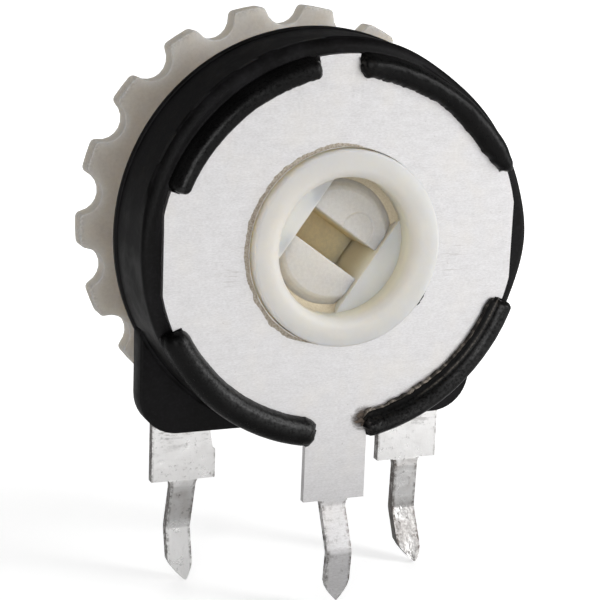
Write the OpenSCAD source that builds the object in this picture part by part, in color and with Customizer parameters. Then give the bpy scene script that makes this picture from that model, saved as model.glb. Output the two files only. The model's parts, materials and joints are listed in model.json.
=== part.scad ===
// Upright carbon trimmer potentiometer with a snap-in thumbwheel.
// The board's top is z = 0. The viewer faces the collector plate, whose face is y = 0,
// and the rotor turns about the line x = 0, z = axis_h, which runs along Y.

/* [Board fit] */
// Distance between the two outer pins
pin_pitch = 10; // [9.6:0.1:13]
// Distance from the centre pin to the row of the outer pins, at the bends
row_pitch = 5; // [4.1:0.1:6.5]
// Height of the rotor's axis over the board
axis_h = 10.2; // [9:0.1:15]
// Width of a pin
pin_w = 1.05; // [0.8:0.05:1.4]
// How far the outer pins reach below the board's top
pin_len = 4.4; // [3.9:0.1:6]
// How much shorter the centre pin is
centre_short = 0.35; // [0:0.05:0.6]
// Height of the outer pins' bend, below the board's top
bend_drop = 2.25; // [1.8:0.05:2.5]
// Lean of the left pin towards the viewer
lean_left = 0; // [-5:1:10]
// Lean of the centre pin towards the viewer
lean_centre = 9; // [-5:1:15]
// Lean of the right pin towards the viewer
lean_right = 14; // [-5:1:20]
// Width of the terminals over the board
shoulder_w = 2.7; // [2.2:0.1:3.2]
// Sheet thickness of the outer terminals
terminal_t = 0.4; // [0.25:0.05:0.6]

/* [Housing] */
// Diameter of the drum at its rear rim
drum_d = 16.2; // [15:0.1:21]
// Depth of the body, from the plate's face to the outside of the rear wall
body_depth = 3.8; // [3.7:0.1:6]
// How far the drum wall lies inside the rear rim
rim_step = 0.09; // [0.05:0.01:0.2]
// Width of the rear rim
rim_h = 0.35; // [0.2:0.05:0.8]
// Draft of the drum wall, from its rear to its front
drum_draft = 0.06; // [0:0.01:0.2]
// Thickness of the drum wall at its front
wall_t = 1.25; // [1.1:0.05:1.35]
// Thickness of the rear wall and of the skirt
rear_wall_t = 1.05; // [0.7:0.05:1.2]
// Width of the skirt
skirt_w = 14.4; // [13.6:0.1:18]
// Distance from the rotor's axis down to the skirt's lower edge
skirt_drop = 7.85; // [7.4:0.05:9]
// Radius of the skirt's lower corners
skirt_corner_r = 1.6; // [0.5:0.1:2]
// Height of the bearing collar behind the rear wall
collar_h = 0.5; // [0.2:0.1:0.8]
// Thickness of the bearing collar
collar_t = 0.9; // [0.5:0.1:1.4]

/* [Rolled lips] */
// Width of a lip over the plate
lip_w = 0.86; // [0.7:0.02:0.92]
// Height of a lip over the plate
lip_h = 0.52; // [0.3:0.02:0.7]
// How far a lip's inner edge lies inside the drum's front rim
lip_reach = 1.3; // [1.2:0.05:1.4]
// Rounding of the lips' ends
lip_end_r = 0.28; // [0.1:0.02:0.3]
// Angle between the two upper lips
top_gap = 14; // [8:1:30]
// Middle of that gap
top_gap_at = 93.9; // [85:0.1:95]
// Angle between an upper and a lower lip
side_gap = 43; // [30:1:60]
// Middle of the right one of those gaps
side_gap_at = 2; // [-5:0.5:5]
// Angle between the two lower lips
bottom_gap = 18; // [16:1:24]

/* [Collector plate] */
// Sheet thickness of the collector plate
plate_t = 0.3; // [0.2:0.05:0.5]
// How far the plate's round edge lies inside the drum's front rim
plate_margin = 0.55; // [0.3:0.05:0.7]
// How far the plate is set in where the lips hold it
plate_set_in = 0.34; // [0.2:0.02:0.38]
// Depth of the two side flats
flat_depth = 0.16; // [0.05:0.01:0.4]
// Width of the centre terminal
neck_w = 2.6; // [2:0.1:3]

/* [Rotor] */
// Diameter of the raised ring in the plate's hole
ring_d = 7.66; // [7:0.02:8.4]
// Height of the ring over the plate's face
ring_rise = 0.45; // [0.2:0.05:0.6]
// Rounding of the ring's outer edge
ring_edge_r = 0.12; // [0.04:0.02:0.2]
// Diameter of the recess inside the ring
recess_d = 5.5; // [4.8:0.1:6.2]
// Depth from the plate's face to the two flats that carry the key
web_depth = 0.74; // [0.5:0.02:0.9]
// Distance across the key's flats
key_flats = 3.24; // [2.8:0.02:3.8]
// Depth of the step that the stem's barbs hook behind
hook_depth = 1.75; // [1.5:0.05:2.1]
// Thickness of the rotor's flange
flange_t = 0.95; // [0.7:0.05:1]
// How far the flange laps behind the plate's hole
flange_lap = 0.6; // [0.3:0.05:0.8]
// Thickness of the hub round the recess
hub_wall = 0.4; // [0.35:0.05:0.7]
// Total turning angle
travel = 265; // [200:5:290]
// Direction of the key's slot when the wiper is up
key_angle = -35.6; // [-90:0.1:90]

/* [Thumbwheel] */
// Diameter over the teeth
wheel_d = 17.4; // [15:0.1:24]
// Number of teeth
tooth_count = 18; // [12:1:22]
// Depth of the valleys between the teeth
tooth_depth = 0.8; // [0.3:0.05:1]
// Radius of the valleys
valley_r = 0.83; // [0.5:0.01:0.9]
// Radius of the teeth's corners
tooth_corner_r = 0.24; // [0.1:0.02:0.25]
// Angle of a tooth to the key's slot
tooth_phase = -2.5; // [-10:0.1:10]
// Thickness of the wheel
wheel_t = 0.9; // [0.6:0.05:1.6]
// Distance from the rear wall to the wheel
wheel_gap = 2.5; // [1.6:0.05:4]
// How far the wheel's hub laps behind the bearing's collar
wheel_hub_lap = 0.25; // [0.1:0.05:0.8]
// Diameter of the stem
stem_d = 4.5; // [4:0.05:4.8]
// Width of the slot between the stem's prongs
stem_slot_w = 1.33; // [0.9:0.01:1.6]
// Depth from the plate's face to the slot's floor
slot_floor = 3.1; // [2.4:0.1:3.8]
// Depth from the plate's face to the prongs' ends
stem_depth = 0.86; // [0.7:0.02:1.1]
// Depth over which the prongs' ends slope out to their barbs
barb_slope = 0.4; // [0.25:0.05:0.55]

/* [Resistive element] */
// Thickness of the phenolic base
element_t = 0.8; // [0.5:0.05:0.9]
// Thickness of the printed layers
print_t = 0.05; // [0.02:0.01:0.08]
// Middle radius of the carbon track
track_r = 4.8; // [4.6:0.05:5]
// Width of the carbon track
track_w = 0.8; // [0.6:0.05:0.9]
// Distance of a rivet from the rotor's axis
rivet_r = 5.9; // [5.8:0.05:5.95]
// Angle of a rivet from straight down
rivet_angle = 45.7; // [40:0.1:50]
// Diameter of the rivets' shanks
rivet_d = 0.8; // [0.6:0.05:1]

/* [Wiper] */
// Sheet thickness of the wiper
wiper_t = 0.16; // [0.1:0.01:0.2]
// Width of the wiper's fingers
finger_w = 0.5; // [0.3:0.05:0.7]

/* [Clearances] */
// Radial gap of the hub in its bearing
bearing_gap = 0.05; // [0.03:0.01:0.08]
// Radial gap of the ring in the plate's hole
hole_gap = 0.17; // [0.1:0.01:0.3]
// Axial gap of the rotor, and between rotor and wheel
axial_gap = 0.05; // [0.03:0.01:0.1]
// Gap of the stem in the rotor's stepped hole
stem_gap = 0.04; // [0.02:0.01:0.06]
// Gap between the wiper's contacts and what they slide on
contact_gap = 0.04; // [0.03:0.01:0.08]
// Gap of parts that only lie in the housing
seat_gap = 0.1; // [0.05:0.01:0.2]

/* [Hidden] */
$fn = 96;
cut = 0.5;                  // how far a cutter runs past what it cuts
rim_round = 0.25;           // rounding of the drum's front edge

drum_r = drum_d / 2;
wall_r = drum_r - rim_step;
front_r = wall_r - drum_draft;
cavity_r = front_r - wall_t;
floor_depth = body_depth - rear_wall_t;
plate_r = front_r - plate_margin;
held_r = plate_r - plate_set_in;
lip_in_r = front_r - lip_reach;
// From and to angle, then inner and outer shift: the hot tool leaves no two lips alike.
lips = [
    [side_gap_at + side_gap / 2, top_gap_at - top_gap / 2, -0.05, -0.04],
    [top_gap_at + top_gap / 2, 180 + side_gap_at - side_gap / 2, 0, 0],
    [180 + side_gap_at + side_gap / 2, 271 - bottom_gap / 2, 0.15, 0.39],
    [271 + bottom_gap / 2, 360 + side_gap_at - side_gap / 2, 0.01, 0.36]];

ring_r = ring_d / 2;
plate_hole_r = ring_r + hole_gap;
recess_r = recess_d / 2;
mouth_r = 0.4 * (ring_r - recess_r); // rounding of the ring into its recess
hub_r = recess_r + hub_wall;
bearing_r = hub_r + bearing_gap;
flange_r = plate_hole_r + flange_lap;
flange_depth = plate_t + axial_gap;
flange_back = flange_depth + flange_t;
hub_back = body_depth + collar_h + axial_gap;
shoulder_r = hub_r + 0.3;   // the hub's thrust shoulder on the rear wall
sector_r = cavity_r - 0.4;  // the stop sector's edge
stop_half = 6.6;            // half angle of the housing's stop
sector_half = (360 - travel) / 2 - stop_half - 0.4;

element_front = floor_depth - element_t;
print_front = element_front - print_t;
element_hole_r = shoulder_r + 0.2;
element_gap_half = 18;      // half angle of the gap under the stop
track_half = travel / 2 + 8;
pad_half = 153;             // half angle from the top to the pads' ends
rivet_head_r = 0.55;
rivet_head_t = 0.2;
rivet_x = rivet_r * sin(rivet_angle);
rivet_y = -rivet_r * cos(rivet_angle);

terminal_back = body_depth + terminal_t;
terminal_top = rivet_y + 1.25;
tip_h = 0.9;                // height of a pin's pointed end
bend_out = (row_pitch - (body_depth + terminal_t / 2 - plate_t / 2)) / 2;

key_half = key_flats / 2;
stem_r = stem_d / 2;
barb_r = recess_r - 0.12;
tip_r = stem_r - 0.08;        // the flat end of the prongs
wheel_r = wheel_d / 2;
wheel_front = body_depth + wheel_gap;
wheel_back = wheel_front + wheel_t;
hub_front = hub_back + axial_gap;
wheel_hub_r = bearing_r + wheel_hub_lap;

function on_circle(r, a) = [r * cos(a), r * sin(a)];
function arc(c, r, from, to, steps) =
    [for (i = [0 : steps]) c + on_circle(r, from + (to - from) * i / steps)];
function inner_arc(c, r, from, to, steps) =
    [for (i = [1 : steps - 1]) c + on_circle(r, from + (to - from) * i / steps)];

// A strip of sheet seen edge on: its middle line, then the line at half the thickness to each side.
function unit(v) = v / norm(v);
function side_of(path, i) =
    let (a = unit(path[max(i, 1)] - path[max(i, 1) - 1]),
         b = unit(path[min(i + 1, len(path) - 1)] - path[min(i, len(path) - 2)]),
         n = unit([-(a + b)[1], (a + b)[0]]))
    n / (n * [-a[1], a[0]]);
function strip(path, t) = concat(
    [for (i = [0 : len(path) - 1]) path[i] + side_of(path, i) * t / 2],
    [for (i = [len(path) - 1 : -1 : 0]) path[i] - side_of(path, i) * t / 2]);
// Three points of a path become a rounded bend.
function bend(a, b, c, r, steps) =
    let (u = unit(a - b), v = unit(c - b), half = acos(u * v) / 2,
         reach = r / tan(half), mid = b + unit(u + v) * r / sin(half),
         p = b + u * reach, q = b + v * reach,
         from = atan2(p[1] - mid[1], p[0] - mid[0]),
         raw = atan2(q[1] - mid[1], q[0] - mid[0]) - from,
         turn = raw > 180 ? raw - 360 : raw < -180 ? raw + 360 : raw)
    arc(mid, r, from, from + turn, steps);

// Things drawn as the viewer sees the plate: x right, y up from the rotor's axis, z to the viewer.
module front_view() {
    translate([0, 0, axis_h]) rotate([90, 0, 0]) children();
}
// A flat outline from one depth behind the plate's face to another.
module layer(front, back) {
    translate([0, 0, -back]) linear_extrude(height = back - front) children();
}
module sector(inner, outer, from, to, front, back) {
    rotate_extrude(angle = to - from, start = from)
        translate([inner, -back]) square([outer - inner, back - front]);
}
module double_d(r, half) {
    rotate(key_angle) intersection() {
        circle(r = r);
        square([2 * half, 4 * r], center = true);
    }
}
// Drawn from the side: the path's points are [depth behind the plate's face, height over the board].
module side_strip(path, t, x, w) {
    translate([x - w / 2, 0, 0]) rotate([90, 0, 90])
        linear_extrude(height = w) polygon(strip(path, t));
}

// ---- Housing

module drum_outside() {
    rotate_extrude() polygon(concat(
        [[0, -body_depth], [drum_r, -body_depth], [drum_r, rim_h - body_depth],
         [wall_r, rim_h - body_depth]],
        arc([front_r - rim_round, -plate_t - rim_round], rim_round, 0, 90, 4),
        [[0, -plate_t]]));
}
module skirt_outline() {
    polygon(concat(
        [[skirt_w / 2, 0], [-skirt_w / 2, 0]],
        arc([skirt_corner_r - skirt_w / 2, skirt_corner_r - skirt_drop], skirt_corner_r, 180, 270, 8),
        arc([skirt_w / 2 - skirt_corner_r, skirt_corner_r - skirt_drop], skirt_corner_r, 270, 360, 8)));
}
// A ring sector with rounded ends.
function lip_outline(from, to, r_in, r_out, r) =
    let (out = asin(r / (r_out - r)), in = asin(r / (r_in + r)))
    concat(inner_arc([0, 0], r_out, from + out, to - out, 14),
           arc(on_circle(r_out - r, to - out), r, to - out, to + 90, 4),
           arc(on_circle(r_in + r, to - in), r, to + 90, to - in + 180, 4),
           inner_arc([0, 0], r_in, to - in, from + in, 14),
           arc(on_circle(r_in + r, from + in), r, from + in + 180, from + 270, 4),
           arc(on_circle(r_out - r, from + out), r, from - 90, from + out, 4));
// A lip stands up outside the plate and is rolled over the plate's edge.
module lip(from, to, r_in, r_out) {
    mid = (r_in + r_out) / 2;
    intersection() {
        rotate_extrude() polygon(concat(
            [[r_out, -plate_t - 0.3]],
            [for (a = [0 : 15 : 180]) [mid + cos(a) * (r_out - r_in) / 2, sin(a) * lip_h]],
            [[held_r + 0.02, 0], [held_r + 0.02, -plate_t - 0.3]]));
        layer(-1, 1) polygon(lip_outline(from, to, r_in - 0.05, r_out + 0.05, lip_end_r));
    }
}
module rivet_holes(front, back) {
    layer(front, back) for (side = [-1, 1])
        translate([side * rivet_x, rivet_y]) circle(d = rivet_d);
}
module housing() {
    color([0.1, 0.1, 0.105]) front_view() {
        difference() {
            union() {
                drum_outside();
                layer(floor_depth, body_depth) skirt_outline();
                layer(body_depth - cut, body_depth + collar_h) circle(r = bearing_r + collar_t);
            }
            layer(plate_t - cut, floor_depth) circle(r = cavity_r);
            layer(plate_t, body_depth + collar_h + cut) circle(r = bearing_r);
            rivet_holes(floor_depth - cut, body_depth + cut);
        }
        sector(cavity_r - 1.8, cavity_r + cut, 270 - stop_half, 270 + stop_half,
               plate_t + axial_gap, floor_depth + cut);
        for (l = lips) lip(l[0], l[1], lip_in_r + l[2], lip_in_r + lip_w + l[3]);
    }
}

// ---- Terminals

// Half of a pin's pointed end, from its side to its point.
function tip_side(side, length, skew) =
    [for (s = [0, 0.3, 0.55, 0.75, 0.9])
        [side * pin_w / 2 * (1 - pow(s, 1.6)) + skew * s, tip_h * (1 - s) - length]];
// The front outline of a pin with its shoulders; y is height over the board.
module pin_outline(x, w, length, skew, top) {
    right = tip_side(1, length, skew);
    translate([x, 0]) polygon(concat(
        [[w / 2, 0], [w / 2, top], [-w / 2, top], [-w / 2, 0],
         [-pin_w / 2 - 0.09, 0], [-pin_w / 2 - 0.03, -0.12], [-pin_w / 2, -0.3]],
        tip_side(-1, length, skew),
        [[skew, -length]],
        [for (i = [len(right) - 1 : -1 : 0]) right[i]],
        [[pin_w / 2, -0.3], [pin_w / 2 + 0.03, -0.12], [pin_w / 2 + 0.09, 0]]));
}
// Depth and height of a pin's middle line: it bends out, comes back, and leans as a whole.
function leaning(path, lean) = [for (p = path) [p[0] + min(0, p[1] + 0.2) * tan(lean), p[1]]];
function pin_path(depth, out, drop, length, lean, top) = leaning(concat(
    [[depth, top]],
    bend([depth, top], [depth, -0.3], [depth + out, -drop], 0.5, 3),
    bend([depth, -0.3], [depth + out, -drop], [depth, -length], 0.4, 4),
    [[depth, -length]]), lean);
module snap_pin(x, w, depth, out, t, drop, length, skew, lean, top) {
    intersection() {
        side_strip(pin_path(depth, out, drop, length, lean, top), t, x, w);
        translate([0, depth + 3, 0]) rotate([90, 0, 0])
            linear_extrude(height = 6) pin_outline(x, w, length, skew, top);
    }
}
module outer_terminal(side, lean) {
    inner = pin_pitch / 2 - shoulder_w / 2;
    outer = pin_pitch / 2 + shoulder_w / 2;
    difference() {
        union() {
            snap_pin(side * pin_pitch / 2, shoulder_w, body_depth + terminal_t / 2, bend_out,
                     terminal_t, bend_drop, pin_len, 0.2, lean, 1.1);
            front_view() layer(body_depth, terminal_back) polygon([
                [side * outer, 1 - axis_h], [side * inner, 1 - axis_h],
                [side * inner, 1.2 - axis_h], [side * (inner + 0.12), 1.3 - axis_h],
                [side * (inner + 0.3), -skirt_drop],
                [side * (rivet_x - 1), terminal_top - 0.3], [side * (rivet_x - 0.7), terminal_top],
                [side * (rivet_x + 0.7), terminal_top], [side * (rivet_x + 1), terminal_top - 0.3],
                [side * outer, 1 - skirt_drop]]);
        }
        front_view() {
            rivet_holes(body_depth - cut, terminal_back + cut);
            layer(body_depth - cut, terminal_back + cut) circle(r = bearing_r + collar_t + 0.2);
        }
    }
}
module terminal_left() {
    color([0.78, 0.77, 0.75]) outer_terminal(-1, lean_left);
}
module terminal_right() {
    color([0.78, 0.77, 0.75]) outer_terminal(1, lean_right);
}
module rivet(side) {
    front_view() translate([side * rivet_x, rivet_y, 0]) difference() {
        union() {
            layer(print_front - rivet_head_t, print_front) circle(r = rivet_head_r);
            layer(print_front - rivet_head_t, terminal_back + rivet_head_t) circle(d = rivet_d);
            layer(terminal_back, terminal_back + rivet_head_t) circle(r = rivet_head_r);
        }
        layer(print_front - rivet_head_t - cut, terminal_back + rivet_head_t + cut)
            circle(d = rivet_d / 2);
    }
}
module rivet_left() {
    color([0.72, 0.72, 0.7]) rivet(-1);
}
module rivet_right() {
    color([0.72, 0.72, 0.7]) rivet(1);
}

// ---- Collector plate with the centre terminal

// What is cut off the plate's edge where a lip holds it.
module held_edge(from, to) {
    difference() {
        polygon([[0, 0], on_circle(2 * plate_r, from), on_circle(2 * plate_r, (from + to) / 2),
                 on_circle(2 * plate_r, to)]);
        circle(r = held_r);
    }
}
module collector_plate() {
    color([0.86, 0.855, 0.85]) {
        front_view() layer(0, plate_t) difference() {
            union() {
                difference() {
                    intersection() {
                        circle(r = plate_r);
                        square([2 * (plate_r - flat_depth), 4 * plate_r], center = true);
                    }
                    for (l = lips) held_edge(l[0] - 0.5, l[1] + 0.5);
                }
                difference() {
                    translate([-neck_w / 2, 0.6 - axis_h])
                        square([neck_w, axis_h - 0.6 - ring_r - 1]);
                    for (l = lips) polygon(lip_outline(l[0] - 0.4, l[1] + 0.4,
                        lip_in_r + l[2] - 0.05, lip_in_r + lip_w + l[3] + 0.1, lip_end_r));
                }
            }
            circle(r = plate_hole_r);
        }
        snap_pin(0, neck_w, plate_t / 2, -bend_out, plate_t, bend_drop - centre_short,
                 pin_len - centre_short, 0.03, lean_centre, 1);
    }
}

// ---- Resistive element

module element_base() {
    color([0.55, 0.36, 0.2]) front_view() difference() {
        sector(element_hole_r, cavity_r - seat_gap, element_gap_half - 90,
               270 - element_gap_half, element_front, floor_depth);
        rivet_holes(element_front - cut, floor_depth + cut);
    }
}
module carbon_track() {
    color([0.16, 0.15, 0.15]) front_view()
        sector(track_r - track_w / 2, track_r + track_w / 2, 90 - track_half, 90 + track_half,
               print_front, element_front);
}
// A pad covers one end of the track and runs out to its rivet.
module silver_pad(side) {
    front_view() mirror([side > 0 ? 1 : 0, 0, 0]) difference() {
        union() {
            sector(track_r - track_w / 2, track_r + track_w / 2 + 0.2, 90 + track_half,
                   90 + pad_half, print_front, element_front);
            sector(track_r + track_w / 2 + 0.12, cavity_r - seat_gap - 0.1,
                   270 - rivet_angle - 14, 90 + pad_half, print_front, element_front);
        }
        layer(print_front - cut, element_front + cut)
            translate([-rivet_x, rivet_y]) circle(d = rivet_d);
    }
}
module pad_left() {
    color([0.75, 0.74, 0.72]) silver_pad(-1);
}
module pad_right() {
    color([0.75, 0.74, 0.72]) silver_pad(1);
}

// ---- Rotor and wiper

// The two flats that carry the key are segments set into the round bore.
module key_webs() {
    rotate(key_angle) difference() {
        circle(r = recess_r + 0.1);
        square([2 * (key_half + stem_gap), 4 * recess_r], center = true);
    }
}
module rotor() {
    color([0.93, 0.92, 0.88]) front_view() difference() {
        union() {
            rotate_extrude() polygon(concat(
                [[stem_r + stem_gap, -hub_back], [hub_r, -hub_back],
                 [hub_r, -floor_depth + axial_gap], [shoulder_r, -floor_depth + axial_gap],
                 [shoulder_r, -flange_back], [flange_r, -flange_back],
                 [flange_r, -flange_depth], [ring_r, -flange_depth]],
                arc([ring_r - ring_edge_r, ring_rise - ring_edge_r], ring_edge_r, 0, 90, 4),
                arc([recess_r + mouth_r, ring_rise - mouth_r], mouth_r, 90, 180, 10),
                [[recess_r, -hook_depth],
                 [stem_r + stem_gap, -hook_depth]]));
            sector(shoulder_r, sector_r, 90 - sector_half, 90 + sector_half,
                   flange_depth, flange_back);
            layer(web_depth, hub_back) key_webs();
        }
        for (side = [-1, 1]) rotate(90 + side * 24) layer(flange_depth - cut, flange_back + cut)
            translate([4.85, -finger_w / 2 - 0.15]) square([1.05, finger_w + 0.3]);
    }
}
// A finger of the wiper at an angle. Its path is [radius, depth].
module finger(angle, path) {
    rotate(angle) translate([0, finger_w / 2, 0]) rotate([90, 0, 0])
        linear_extrude(height = finger_w) polygon(strip([for (p = path) [p[0], -p[1]]], wiper_t));
}
module wiper() {
    sheet = flange_back + wiper_t / 2;
    on_track = print_front - contact_gap - wiper_t / 2;
    on_plate = plate_t + contact_gap + wiper_t / 2;
    color([0.8, 0.74, 0.55]) front_view() {
        difference() {
            union() {
                layer(flange_back, flange_back + wiper_t) circle(r = flange_r - 0.1);
                sector(shoulder_r, sector_r - 0.3, 90 - sector_half + 3, 90 + sector_half - 3,
                       flange_back, flange_back + wiper_t);
            }
            layer(flange_back - cut, flange_back + wiper_t + cut) {
                circle(r = shoulder_r + seat_gap);
                for (side = [-1, 1]) rotate(90 + side * 8) translate([4.35, -finger_w / 2 - 0.1])
                    square([1.15, finger_w + 0.2]);
                for (side = [-1, 1]) rotate(90 + side * 24) translate([4.85, -finger_w / 2 - 0.1])
                    square([1, finger_w + 0.2]);
            }
        }
        for (side = [-1, 1]) {
            finger(90 + side * 8, [[5.8, sheet], [5.4, sheet], [track_r + 0.1, on_track],
                                   [track_r - 0.1, on_track], [track_r - 0.35, sheet + 0.15]]);
            finger(90 + side * 24, [[4.6, sheet], [4.95, sheet], [5.45, on_plate],
                                    [5.58, on_plate], [5.75, on_plate + 0.2]]);
        }
    }
}

// ---- Thumbwheel

valley_mid = wheel_r - tooth_depth + valley_r;
corner_mid = wheel_r - tooth_corner_r;
corner_turn = acos((corner_mid ^ 2 + valley_mid ^ 2 - (valley_r + tooth_corner_r) ^ 2)
                   / (2 * corner_mid * valley_mid));
flank = atan2(corner_mid * sin(corner_turn), valley_mid - corner_mid * cos(corner_turn));
// One valley with the rounded corners of the teeth on both sides of it.
function valley(a) = concat(
    arc(on_circle(corner_mid, a - corner_turn), tooth_corner_r, a - corner_turn, a + flank, 3),
    inner_arc(on_circle(valley_mid, a), valley_r, a + 180 + flank, a + 180 - flank, 8),
    arc(on_circle(corner_mid, a + corner_turn), tooth_corner_r, a - flank, a + corner_turn, 3));
module wheel_outline() {
    step = 360 / tooth_count;
    polygon([for (i = [0 : tooth_count - 1])
        for (p = concat(valley((i + 0.5) * step), [on_circle(wheel_r, (i + 1) * step)])) p]);
}
module thumbwheel() {
    color([0.9, 0.89, 0.86]) front_view() {
        difference() {
            union() {
                rotate(key_angle + tooth_phase) layer(wheel_front, wheel_back) wheel_outline();
                layer(hub_front, wheel_front + wheel_t / 2) circle(r = wheel_hub_r);
                intersection() {
                    layer(stem_depth, wheel_front) rotate(key_angle)
                        square([2 * key_half, 4 * recess_r], center = true);
                    rotate_extrude() polygon(concat(
                        [[0, -stem_depth]],
                        arc([tip_r - 0.1, -stem_depth - 0.1], 0.1, 90, 30, 3),
                        [[barb_r, -stem_depth - barb_slope], [barb_r, -hook_depth + stem_gap],
                         [stem_r, -hook_depth + stem_gap], [stem_r, -wheel_front], [0, -wheel_front]]));
                }
            }
            layer(stem_depth - cut, slot_floor) rotate(key_angle)
                square([2 * recess_r, stem_slot_w], center = true);
            layer(wheel_back - 0.25, wheel_back + cut) difference() {
                circle(r = wheel_r - tooth_depth - 0.8);
                circle(r = wheel_hub_r);
            }
            layer(wheel_back - 1.2, wheel_back + cut) rotate(key_angle)
                square([5, 1.1], center = true);
        }
    }
}

housing();
collector_plate();
element_base();
carbon_track();
pad_left();
pad_right();
terminal_left();
terminal_right();
rivet_left();
rivet_right();
rotor();
wiper();
thumbwheel();
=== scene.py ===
import json, math
import bpy, bmesh
from mathutils import Matrix, Vector, noise


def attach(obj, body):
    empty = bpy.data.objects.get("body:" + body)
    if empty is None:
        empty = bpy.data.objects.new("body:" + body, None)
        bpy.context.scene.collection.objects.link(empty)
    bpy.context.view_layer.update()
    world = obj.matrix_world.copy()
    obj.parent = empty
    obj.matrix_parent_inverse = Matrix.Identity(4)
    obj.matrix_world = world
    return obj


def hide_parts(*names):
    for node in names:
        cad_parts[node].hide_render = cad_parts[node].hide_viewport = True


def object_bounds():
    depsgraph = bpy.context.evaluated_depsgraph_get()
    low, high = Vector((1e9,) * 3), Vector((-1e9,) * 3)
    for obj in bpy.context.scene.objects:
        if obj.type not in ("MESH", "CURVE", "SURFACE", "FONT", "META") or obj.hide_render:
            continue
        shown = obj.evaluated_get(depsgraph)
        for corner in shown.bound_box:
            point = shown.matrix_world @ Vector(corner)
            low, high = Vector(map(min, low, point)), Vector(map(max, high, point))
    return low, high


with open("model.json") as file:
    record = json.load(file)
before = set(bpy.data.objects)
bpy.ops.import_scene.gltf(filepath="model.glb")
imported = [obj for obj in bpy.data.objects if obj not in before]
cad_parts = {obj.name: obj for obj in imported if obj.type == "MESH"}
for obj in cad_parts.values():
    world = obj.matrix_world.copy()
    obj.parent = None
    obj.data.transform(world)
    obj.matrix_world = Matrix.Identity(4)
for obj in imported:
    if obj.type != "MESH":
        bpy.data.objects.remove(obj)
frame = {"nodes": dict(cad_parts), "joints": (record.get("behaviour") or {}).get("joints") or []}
bpy.context.view_layer.update()
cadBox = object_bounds()
nodes = frame["nodes"]
mm = 0.001
axisHeight = frame["joints"][0]["pos_m"][2] / mm  # the rotor's axis over the board
print("frame loaded:", len(nodes), "nodes")


# Shader maths: a Wire is an output socket, and an expression on wires adds the nodes.
class Wire:
    def __init__(self, finish, socket):
        self.finish, self.socket = finish, socket

    def maths(self, operation, *values):
        return self.finish.node("Math", {"operation": operation}, dict(enumerate(values)))

    def __add__(self, other):
        return self.maths("ADD", self, other)

    def __radd__(self, other):
        return self.maths("ADD", other, self)

    def __sub__(self, other):
        return self.maths("SUBTRACT", self, other)

    def __rsub__(self, other):
        return self.maths("SUBTRACT", other, self)

    def __mul__(self, other):
        return self.maths("MULTIPLY", self, other)

    def __rmul__(self, other):
        return self.maths("MULTIPLY", other, self)

    def __pow__(self, other):
        return self.maths("POWER", self, other)

    def __rpow__(self, other):
        return self.maths("POWER", other, self)

    def __abs__(self):
        return self.maths("ABSOLUTE", self)

    def larger(self, other):
        return self.maths("MAXIMUM", self, other)

    def smaller(self, other):
        return self.maths("MINIMUM", self, other)

    def ramp(self, start, end, low=0.0, high=1.0):  # smooth, and falling where start is above end
        return self.finish.node("MapRange", {"interpolation_type": "SMOOTHSTEP"},
                                {0: self, 1: start, 2: end, 3: low, 4: high})


def far(first, second):  # the distance over two directions
    return ((first ** 2) + (second ** 2)) ** 0.5


class Finish:
    def __init__(self, name, fixed, kind="materials"):
        self.material = getattr(bpy.data, kind).new(name)
        self.material.use_nodes = True
        self.tree = self.material.node_tree
        self.shader = self.tree.nodes.get("Principled BSDF")
        for socket, value in fixed.items():
            self.shader.inputs[socket].default_value = value

    def node(self, kind, settings=None, sockets=None, out=0):
        made = self.tree.nodes.new("ShaderNode" + kind)
        for key, value in (settings or {}).items():
            setattr(made, key, value)
        for key, value in (sockets or {}).items():
            if isinstance(value, Wire):
                self.tree.links.new(value.socket, made.inputs[key])
            else:
                made.inputs[key].default_value = value
        return Wire(self, made.outputs[out])

    def feed(self, **wires):  # the shader's sockets, with _ for a space
        for key, wire in wires.items():
            self.tree.links.new(wire.socket, self.shader.inputs[key.replace("_", " ")])

    def place(self, stretch=(1, 1, 1)):  # the point on the piece in millimetres
        point = self.node("TexCoord", out="Object")
        return self.node("VectorMath", {"operation": "MULTIPLY"},
                         {0: point, 1: [s / mm for s in stretch]})

    def along(self, axis):
        return self.node("SeparateXYZ", None, {0: self.place()}, out=axis)

    def facing(self, axis):  # the face's own direction, in the piece's frame
        normal = self.node("TexCoord", out="Normal")
        return self.node("SeparateXYZ", None, {0: normal}, out=axis)

    def radius(self):  # from the rotor's axis
        return far(self.along("X"), self.along("Z") - axisHeight)

    def grain(self, scale, detail=3.0, rough=0.55, stretch=(1, 1, 1), twist=0.0):
        return self.node("TexNoise", None, {"Vector": self.place(stretch), "Scale": scale,
                         "Detail": detail, "Roughness": rough, "Distortion": twist})

    def cells(self, scale, stretch):
        return self.node("TexVoronoi", None, {"Vector": self.place(stretch), "Scale": scale})

    def mix(self, share, first, second):
        return self.node("Mix", {"data_type": "RGBA"}, {0: share, 6: first, 7: second}, out=2)

    def drawn(self, name):  # a value stored on the mesh
        return self.node("Attribute", {"attribute_name": name}, out="Fac")

    def bump(self, height, depth, strength=1.0, under=None):  # depth in millimetres
        sockets = {"Strength": strength, "Distance": depth * mm, "Height": height}
        if under:
            sockets["Normal"] = under
        return self.node("Bump", None, sockets)

    def rays(self):  # what the eye, a polish and a clear thing see
        return [self.node("LightPath", out=ray)
                for ray in ("Is Camera Ray", "Is Glossy Ray", "Is Transmission Ray")]


def shade(red, green, blue):  # screen values from 0 to 255 as a linear colour
    return [((v / 255 + 0.055) / 1.055) ** 2.4 if v > 10 else v / 3295 for v in (red, green, blue)] + [1]


# Black moulded plastic, cloudy with a fine speck, and paler where a lip is scraped or torn, and along the painted
# highlight lines on two lips.
blacks = {"wall": {"dark": shade(7, 6, 6), "light": shade(30, 29, 31), "shine": 0.12},
          "lips": {"dark": shade(4, 4, 4), "light": shade(17, 16, 16), "shine": 0.1},
          "markAndHighlight": shade(176, 166, 154), "coatRough": 0.32}


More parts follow.
